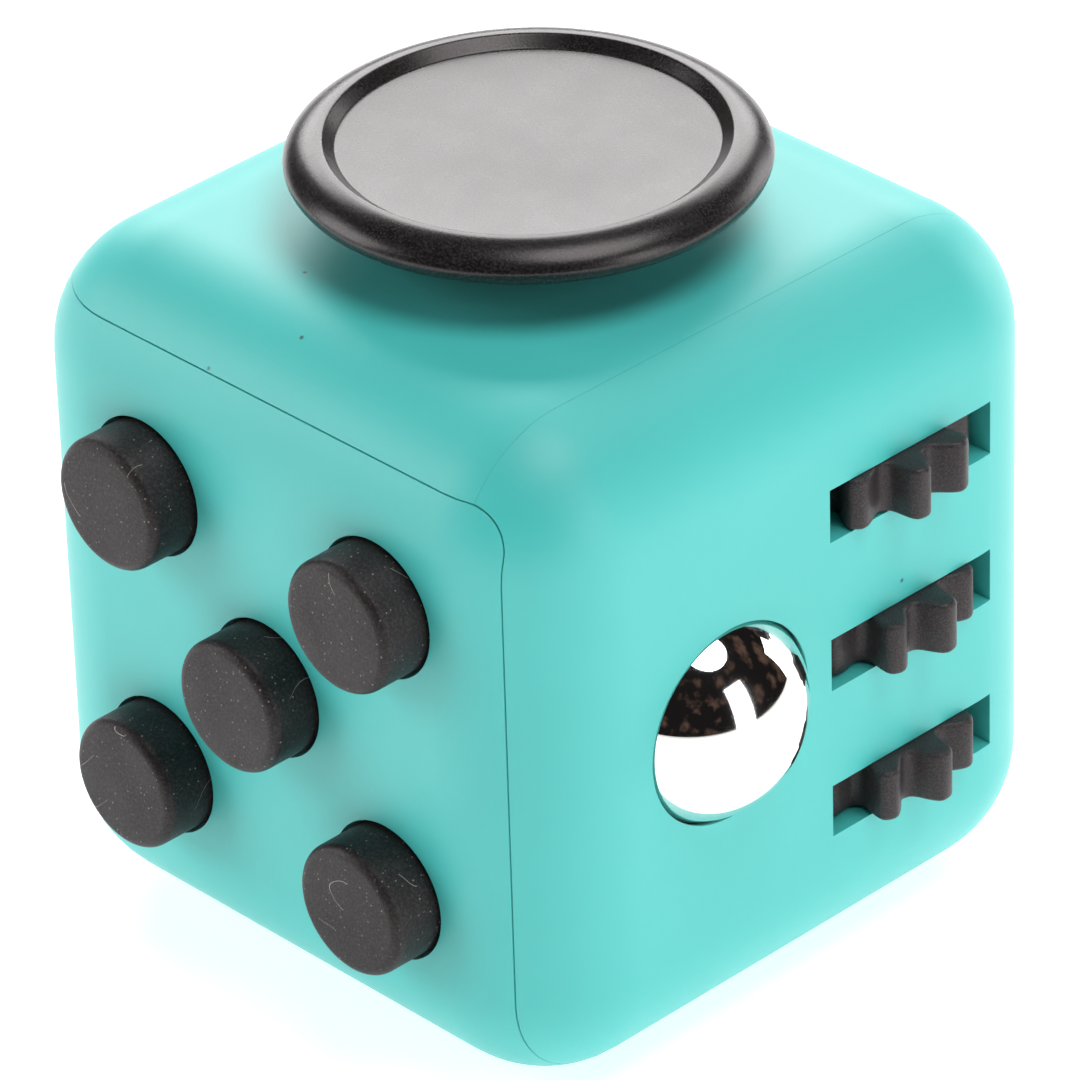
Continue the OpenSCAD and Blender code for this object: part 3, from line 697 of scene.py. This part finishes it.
softened.angle_limit = EDGE_ANGLE
softened.width = 0.12 * MM
softened.segments = 2
dial.data.materials.clear()
dial.data.materials.append(dial_black)
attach(dial, "dial")
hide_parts("spin_dial")


# ---------------------------------------------------------------------------
# Rocker: a black two-way switch on the left that pivots on a steel pin; its
# face is a shallow V, so one half stands out while the other lies flush.
ROCKER_W = 8.4
ROCKER_LEAN = Matrix.Rotation(math.radians(10), 3, "Y")
bm = bmesh.new()
outline = [
    (-2.35, 6.75), (-1.9, 6.95), (1.2, 6.7), (2.6, 2.2), (2.6, -2.2), (1.2, -6.7), (-1.9, -6.95),
    (-2.35, -6.75), (-1.35, 0)]
face = bm.faces.new([bm.verts.new((x * MM, -4.2 * MM, z * MM)) for x, z in outline])
lifted = bmesh.ops.extrude_face_region(bm, geom=[face])["geom"]
raised = [g for g in lifted if isinstance(g, bmesh.types.BMVert)]
bmesh.ops.translate(bm, vec=(0, ROCKER_W * MM, 0), verts=raised)
bmesh.ops.recalc_face_normals(bm, faces=bm.faces[:])
bmesh.ops.bevel(
    bm, geom=bm.edges[:], offset=0.3 * MM, offset_type="OFFSET", affect="EDGES", segments=4, profile=0.5,
    material=-1)
bmesh.ops.rotate(bm, verts=bm.verts[:], cent=(0, 0, 0), matrix=ROCKER_LEAN)
bmesh.ops.translate(bm, vec=(PIVOT_X * MM, 0, MID), verts=bm.verts[:])
for f in bm.faces:
    f.smooth = True
switch = to_object(bm, "v_faced_rocker")
pin_hole = bmesh.new()
add_rod(pin_hole, Y_AXIS, 0.8, (PIVOT_X, -6, LEVEL), (PIVOT_X, 6, LEVEL), 32)
combine(switch, pin_hole, "DIFFERENCE")
bore = bmesh.new()
add_rod(bore, X_AXIS, 0.96, (1.25, 0, 0), (4, 0, 0), 32)
bmesh.ops.rotate(bore, verts=bore.verts[:], cent=(0, 0, 0), matrix=ROCKER_LEAN)
bmesh.ops.translate(bore, vec=(PIVOT_X * MM, 0, MID), verts=bore.verts[:])
combine(switch, bore, "DIFFERENCE")
switch.data.set_sharp_from_angle(angle=EDGE_ANGLE)
switch.data.materials.clear()
switch.data.materials.append(dial_black)
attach(switch, "rocker_switch")
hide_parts("rocker")


# ---------------------------------------------------------------------------
# Works inside: white plastic plates, cups and brackets, steel springs, pins
# and screws, and two silicone domes. They keep their made shapes.
def works_finish(name, base, rough, scale, spread_by, **sockets):
    """A finish whose tone and roughness drift a little across the piece."""
    m, nodes, links, shader = material(name, base, rough, **sockets)
    coordinates = nodes.new("ShaderNodeTexCoord")
    cloud = nodes.new("ShaderNodeTexNoise")
    cloud.inputs["Scale"].default_value = scale
    cloud.inputs["Detail"].default_value = 4
    shade = nodes.new("ShaderNodeValToRGB")
    shade.color_ramp.elements[0].color = tuple(c * (1 - spread_by) for c in base) + (1,)
    shade.color_ramp.elements[1].color = tuple(min(1, c * (1 + spread_by)) for c in base) + (1,)
    rough_range = nodes.new("ShaderNodeMapRange")
    rough_range.inputs["To Min"].default_value = rough * 0.8
    rough_range.inputs["To Max"].default_value = rough * 1.2
    bump = nodes.new("ShaderNodeBump")
    bump.inputs["Strength"].default_value = 0.08
    bump.inputs["Distance"].default_value = 0.00003
    links.new(coordinates.outputs["Object"], cloud.inputs["Vector"])
    links.new(cloud.outputs["Fac"], shade.inputs["Fac"])
    links.new(shade.outputs["Color"], shader.inputs["Base Color"])
    links.new(cloud.outputs["Fac"], rough_range.inputs["Value"])
    links.new(rough_range.outputs["Result"], shader.inputs["Roughness"])
    links.new(cloud.outputs["Fac"], bump.inputs["Height"])
    links.new(bump.outputs["Normal"], shader.inputs["Normal"])
    return m


works = {
    "inner_plastic": works_finish("natural_white_abs", (0.72, 0.71, 0.67), 0.45, 1200, 0.05),
    "screw_steel": works_finish("zinc_plated_steel", (0.60, 0.61, 0.62), 0.32, 2600, 0.12, Metallic=1.0),
    "spring_steel": works_finish("bright_spring_steel", (0.66, 0.66, 0.67), 0.24, 3200, 0.08, Metallic=1.0),
    "silicone": works_finish("grey_silicone", (0.55, 0.56, 0.55), 0.5, 1500, 0.04),
    "black_plastic": dial_black,
    "shell_plastic": turquoise,
    "polished_ball": chrome,
}
for part in frame["record"]["subparts"]:
    o = frame["nodes"][part["node"]]
    for s in o.material_slots:
        s.material = works[part["material_slot"]]
